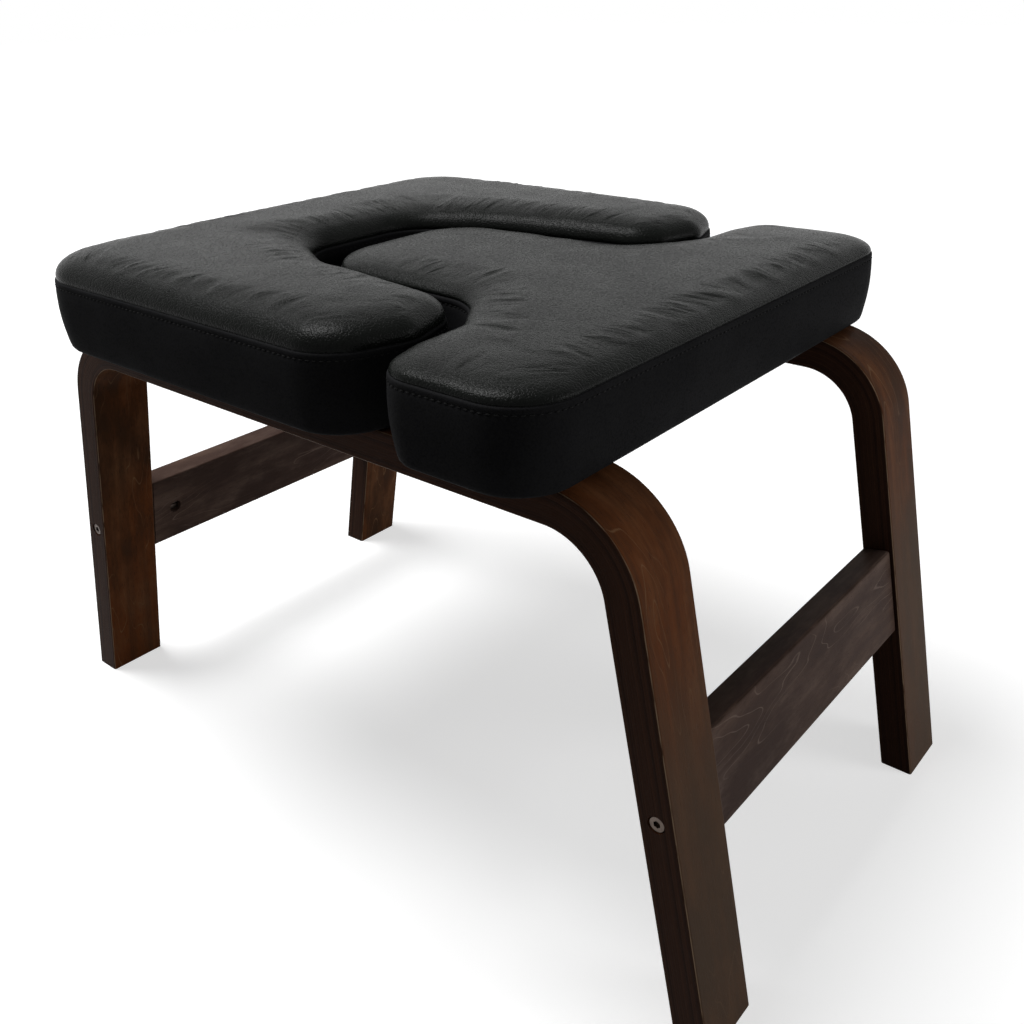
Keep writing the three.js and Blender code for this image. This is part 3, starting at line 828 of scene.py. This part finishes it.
def cushion_rings(seam_height, crown):
    """Inset, height and whether the ring is held while the skin swells, from the pocket up."""
    stitch_height = seam_height - stitch_drop
    rings = [
        (board_rebate, cover_gauge, True),
        (hem_inset, cover_gauge, True),
        (hem_inset, 0.0, True),
        (board_rebate, 0.0, True),
        (side_taper + 0.00125, 0.00165, True),
    ]
    side_rings = 7
    for number in range(side_rings):
        way = number / side_rings
        rings.append((side_inset(way), side_round + (stitch_height - side_round) * way, False))
    rings += [
        (0.0, stitch_height - 0.0009, True),
        (0.0007, stitch_height, True),
        (0.0001, stitch_height + 0.0009, True),
        (0.0002, seam_height - 0.0012, True),
        (0.0006, seam_height - 0.0004, True),
        (0.0017, seam_height, True),
        (0.0012, seam_height + 0.0005, True),
    ]
    for way in (0.012, 0.05, 0.11, 0.2, 0.31):
        rise = crown_rise(way)
        rings.append((seam_draw * (1 - rise) + crown_roll * way, seam_height + crown * rise, way < 0.02))
    return rings


def grow_cushion(mesh, corner_shares, seam_height, crown):
    """Builds the closed cushion in mesh, up to the open rim of its top."""
    place = mesh.verts.layers.int.new("place")
    level = mesh.verts.layers.int.new("level")
    held = mesh.verts.layers.float.new("held")
    mesh.faces.layers.int.new("net")
    face = outline_face(mesh, corner_shares)
    base = [vert.co.copy() for vert in face.verts]
    inward = inward_of(base)
    for index, vert in enumerate(face.verts):
        vert[place] = index
        vert[held] = 1.0
        vert.co = base[index] + inward[index] * board_rebate + Vector((0, 0, seat_base + foam_base))
    bmesh.ops.reverse_faces(mesh, faces=[face])
    edges = face.edges[:]
    for number, (inset, height, still) in enumerate(cushion_rings(seam_height, crown), start=1):
        made = bmesh.ops.extrude_edge_only(mesh, edges=edges)["geom"]
        for vert in made:
            if isinstance(vert, bmesh.types.BMVert):
                index = vert[place]
                vert.co = base[index] + inward[index] * inset + Vector((0, 0, seat_base + height))
                vert[level] = number
                vert[held] = 1.0 if still else 0.0
        edges = [
            edge for edge in made
            if isinstance(edge, bmesh.types.BMEdge) and all(vert[level] == number for vert in edge.verts)
        ]
    return base, edges


# %% [markdown]
# The top panel is one piece of leather, so its skin is one even net of small triangles. Rings
# carried on to the middle would cross each other in the arms of the C. Each point of the net is
# lifted by its distance from the outline, so that the crown rolls up alike along every edge.

# %% Fill the top with an even net
def distance_to_outline(point, base, index):
    """How far a point lies from the two sides of the outline that meet at one of its corners."""
    distances = []
    for start, end in ((base[index - 1], base[index]), (base[index], base[(index + 1) % len(base)])):
        share = intersect_point_line(point, start, end)[1]
        distances.append((point - start.lerp(end, min(1.0, max(0.0, share)))).length)
    return min(distances)


def fill_top(mesh, rim, base, seam_height, crown):
    """Spans the last ring with even triangles and lifts them to the crown."""
    net = mesh.faces.layers.int["net"]
    face = bmesh.ops.contextual_create(mesh, geom=rim)["faces"][0]
    face.normal_update()
    if face.normal.z < 0:
        bmesh.ops.reverse_faces(mesh, faces=[face])
    face[net] = 1

    def parts_of_net():
        faces = [f for f in mesh.faces if f[net]]
        edges = [e for e in mesh.edges if e.link_faces and all(f[net] for f in e.link_faces)]
        verts = [v for v in mesh.verts if v.link_faces and all(f[net] for f in v.link_faces)]
        return faces, edges, verts

    halvings = 7
    relaxing_passes = 4
    easing_passes = 2
    longest_side = 2.1 * skin_step
    for halving in range(halvings):
        bmesh.ops.triangulate(mesh, faces=parts_of_net()[0], quad_method="BEAUTY", ngon_method="BEAUTY")
        for pass_number in range(relaxing_passes):
            faces, edges, verts = parts_of_net()
            bmesh.ops.beautify_fill(mesh, faces=faces, edges=edges, method="ANGLE")
            bmesh.ops.smooth_vert(
                mesh, verts=verts, factor=0.5, use_axis_x=True, use_axis_y=True, use_axis_z=False,
            )
        faces, edges, verts = parts_of_net()
        long_edges = [edge for edge in edges if edge.calc_length() > longest_side]
        if not long_edges or halving == halvings - 1:
            break
        bmesh.ops.subdivide_edges(mesh, edges=long_edges, cuts=1)

    rim_points = KDTree(len(base))
    for index, point in enumerate(base):
        rim_points.insert(point, index)
    rim_points.balance()
    for vert in verts:
        flat = Vector((vert.co.x, vert.co.y, 0))
        distance = distance_to_outline(flat, base, rim_points.find(flat)[1])
        vert.co.z = seat_base + seam_height + crown * crown_rise(distance / crown_roll)
    for pass_number in range(easing_passes):
        bmesh.ops.smooth_vert(
            mesh, verts=verts, factor=0.5, use_axis_x=False, use_axis_y=False, use_axis_z=True,
        )
    return len(verts)


# %% [markdown]
# Foam pushes a cover outwards between its seams. The cover is simulated as cloth under a slight
# pressure, held at the seam, the stitches and the hem. The moves that this gives are evened out,
# so that only wide, shallow creases are left, and capped, so that the pad keeps its size.

# %% Let the skin swell
def shared_with_neighbours(edges, moves):
    """Each move averaged with those at the other ends of its edges, which leaves only wide creases."""
    sums = [move.copy() for move in moves]
    counts = [1] * len(moves)
    for edge in edges:
        first, second = edge.vertices
        sums[first] += moves[second]
        sums[second] += moves[first]
        counts[first] += 1
        counts[second] += 1
    return [total / count for total, count in zip(sums, counts)]


def swell(piece, pressure, most, evening_passes):
    """Simulates the cover as cloth under pressure. No point moves further than most."""
    points = piece.data.vertices
    start = [point.co.copy() for point in points]
    held = piece.vertex_groups.new(name="held")
    for point, value in zip(points, piece.data.attributes["held"].data):
        held.add([point.index], value.value, "REPLACE")
    skin = piece.modifiers.new("skin", "CLOTH")
    skin.settings.quality = 5
    skin.settings.vertex_group_mass = "held"
    skin.settings.use_pressure = True
    skin.settings.uniform_pressure_force = pressure
    skin.settings.effector_weights.gravity = 0
    skin.collision_settings.use_collision = False
    last_frame = 20
    for frame_number in range(1, last_frame + 1):
        scene.frame_set(frame_number)
    swollen = piece.evaluated_get(bpy.context.evaluated_depsgraph_get()).data
    moves = [after.co - before for after, before in zip(swollen.vertices, start)]
    piece.modifiers.remove(skin)
    piece.vertex_groups.clear()
    for pass_number in range(evening_passes):
        moves = shared_with_neighbours(piece.data.edges, moves)
    for point, before, move, value in zip(points, start, moves, piece.data.attributes["held"].data):
        point.co = before + move * (1 - value.value) * min(1.0, most / max(move.length, 1e-9))
    scene.frame_set(1)
    longest = max(move.length for move in moves)
    mean = sum(move.length for move in moves) / len(moves)
    print(piece.name, "skin moved by up to", round(longest * 1000, 1), "mm, mean", round(mean * 1000, 2))


# %% [markdown]
# The row of stitches just below the seam is real thread: short beads laid in a shallow groove,
# at one pitch all round the outline.

# %% Sew the stitches
def stitch_row(name, base, inward, height):
    """A row of short stitches in the groove below the seam, lying along it."""
    pitch = 0.0042
    thread_length = 0.0031
    thread_radius = 0.00042
    groove_inset = 0.0003
    mesh = bmesh.new()
    left = pitch
    for index, point in enumerate(base):
        after = base[(index + 1) % len(base)]
        along = after - point
        travelled = left
        while travelled < along.length:
            way = travelled / along.length
            inset = inward[index].lerp(inward[(index + 1) % len(base)], way) * groove_inset
            centre = point + along * way + inset + Vector((0, 0, height))
            turn = along.to_track_quat("X", "Z").to_matrix().to_4x4()
            size = Matrix.Diagonal((thread_length / 2, thread_radius, thread_radius, 1.0))
            bmesh.ops.create_uvsphere(
                mesh, u_segments=6, v_segments=4, radius=1.0,
                matrix=Matrix.Translation(centre) @ turn @ size,
            )
            travelled += pitch
        left = travelled - along.length
    return add_piece(name, mesh, leather_thread, math.radians(180))


# %% Make both cushions
leather_thread = Finish("black_thread").shade(
    Base_Color=colour(20, 20, 20), Roughness=0.7, Specular_IOR_Level=0.05,
)

for pad, corner_shares, body in (
    ("shoulder", shoulder_corners, "stool"),
    ("insert", insert_corners, "seat_insert"),
):
    seam_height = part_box(f"{pad}_cover_side")[1].z - seat_base
    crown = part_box(f"{pad}_cover_top")[1].z - seat_base - seam_height
    mesh = bmesh.new()
    base, rim = grow_cushion(mesh, corner_shares, seam_height, crown)
    top_points = fill_top(mesh, rim, base, seam_height, crown)
    cushion = add_piece(f"{pad}_cushion", mesh, side_leather, math.radians(180))
    cushion.data.materials.append(top_leather)
    for face in cushion.data.polygons:
        face.material_index = int(face.center.z > seat_base + seam_height)
    swell(cushion, pressure=1.5, most=0.0018, evening_passes=12)
    round_off = cushion.modifiers.new("round_off", "SUBSURF")
    round_off.levels = round_off.render_levels = 1
    round_off.use_limit_surface = False
    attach(cushion, body)
    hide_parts(f"{pad}_cover_top", f"{pad}_cover_side", f"{pad}_foam")
    stitch_height = seat_base + seam_height - stitch_drop
    stitches = stitch_row(f"{pad}_stitches", base, inward_of(base), stitch_height)
    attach(stitches, body)
    print(cushion.name, len(cushion.data.polygons), "faces,", top_points, "points in the top")

# %% [markdown]
# ## The hardware and the hidden wood
#
# The bolts, nuts and washers are zinc plated, and their shapes are right already, so they only
# get a finish. Plating on small steel parts is bright but not a mirror: a little cloudy, with
# fine scratches. Here its colour is painted much darker than bright zinc, as painted shade of the
# recesses that the bolt heads sit in. The boards, dowels and pegs are bare wood that nobody sees
# from the front.

# %% Plated steel and bare wood
def plated_steel_with_painted_shade():
    steel = Finish("zinc_steel_with_painted_shade")
    place = steel.node("ShaderNodeTexCoord", output="Object")
    cloudy = steel.cloud(place, (300.0, 300.0, 300.0), 3.0)
    scratch = steel.cloud(place, (4000.0, 900.0, 900.0), 2.0)
    return steel.shade(
        # The base colour is far darker than bright zinc: painted shade, as the heads sitting in their
        # recesses would get.
        Base_Color=steel.mix(cloudy, colour(66, 57, 52), colour(98, 87, 80)),
        Metallic=1.0,
        Roughness=0.24 + cloudy * 0.16 + scratch * 0.08,
        Normal=steel.relief(scratch, 0.00003),
    )


def bare_wood(name, pale, deep, grain_scale):
    wood = Finish(name)
    place = wood.node("ShaderNodeTexCoord", output="Object")
    fibre = wood.cloud(place, grain_scale, 3.0, 0.6)
    drift = wood.cloud(place, (12.0, 12.0, 12.0), 2.0)
    return wood.shade(
        Base_Color=wood.mix(fibre * 0.7 + drift * 0.3, pale, deep),
        Roughness=0.7,
        Specular_IOR_Level=0.3,
        Normal=wood.relief(fibre, 0.0001),
    )


finishes = {
    "zinc_steel": plated_steel_with_painted_shade(),
    "raw_beech": bare_wood(
        "bare_beech", colour(214, 184, 142), colour(178, 140, 98), grain_scale=(900.0, 900.0, 60.0),
    ),
    "raw_plywood": bare_wood(
        "bare_plywood", colour(200, 168, 126), colour(160, 124, 84), grain_scale=(40.0, 700.0, 1200.0),
    ),
}
for row in frame["record"]["subparts"]:
    finish = finishes.get(row["material_slot"])
    if finish:
        for material_slot in nodes[row["node"]].material_slots:
            material_slot.material = finish

# %% [markdown]
# ## The linings
#
# A thin woven cloth is stapled over the underside of each board, and hides the folded hem. Only
# somebody who turns the stool over sees it. It is the cushion's outline drawn in, with a
# little thickness and holes for the fixings that come through it.

# %% Weave and fit the linings
def lining_weave():
    cloth = Finish("woven_lining")
    place = cloth.node("ShaderNodeTexCoord", output="Object")
    x, y = cloth.parts(place)[:2]
    threads = 1400.0
    warp = abs(cloth.maths("SINE", x * (threads * math.pi)))
    weft = abs(cloth.maths("SINE", y * (threads * math.pi)))
    slub = cloth.cloud(place, (60.0, 900.0, 900.0), 2.0)
    return cloth.shade(
        Base_Color=cloth.mix(slub, colour(20, 20, 21), colour(34, 34, 35)),
        Roughness=0.9,
        Specular_IOR_Level=0.15,
        Normal=cloth.relief(warp * 0.5 + weft * 0.5, 0.00012),
    )


lining_cloth = lining_weave()
lining_gap = 0.0003
lining_thickness = 0.0006
lining_overrun = 0.002
for pad, fixing, corner_shares, body in (
    ("shoulder", "tee_nut", shoulder_corners, "stool"),
    ("insert", "insert_peg", insert_corners, "seat_insert"),
):
    mesh = bmesh.new()
    face = outline_face(mesh, corner_shares)
    loop = face.verts[:]
    base = [vert.co.copy() for vert in loop]
    for vert, point, drawn in zip(loop, base, inward_of(base)):
        vert.co = point + drawn * (hem_inset + lining_gap) + Vector((0, 0, seat_base))
    made = bmesh.ops.extrude_face_region(mesh, geom=[face])["geom"]
    raised = [part for part in made if isinstance(part, bmesh.types.BMVert)]
    bmesh.ops.translate(mesh, verts=raised, vec=(0, 0, lining_thickness))
    bmesh.ops.recalc_face_normals(mesh, faces=mesh.faces[:])
    tools = []
    for end_name in ("front", "back"):
        for side_name in ("left", "right"):
            low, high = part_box(f"{fixing}_{end_name}_{side_name}")
            fixing_middle = (low + high) / 2
            start = Vector((fixing_middle.x, fixing_middle.y, seat_base - lining_overrun))
            radius = (high.y - low.y) / 2 + lining_gap
            tools.append(cylinder_at(start, (0, 0, 1), radius, 3 * lining_overrun))
    lining = add_piece(f"{pad}_lining", carve(mesh, tools), lining_cloth)
    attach(lining, body)
    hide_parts(f"{pad}_dust_cloth")
    print(lining.name, len(lining.data.polygons), "faces")
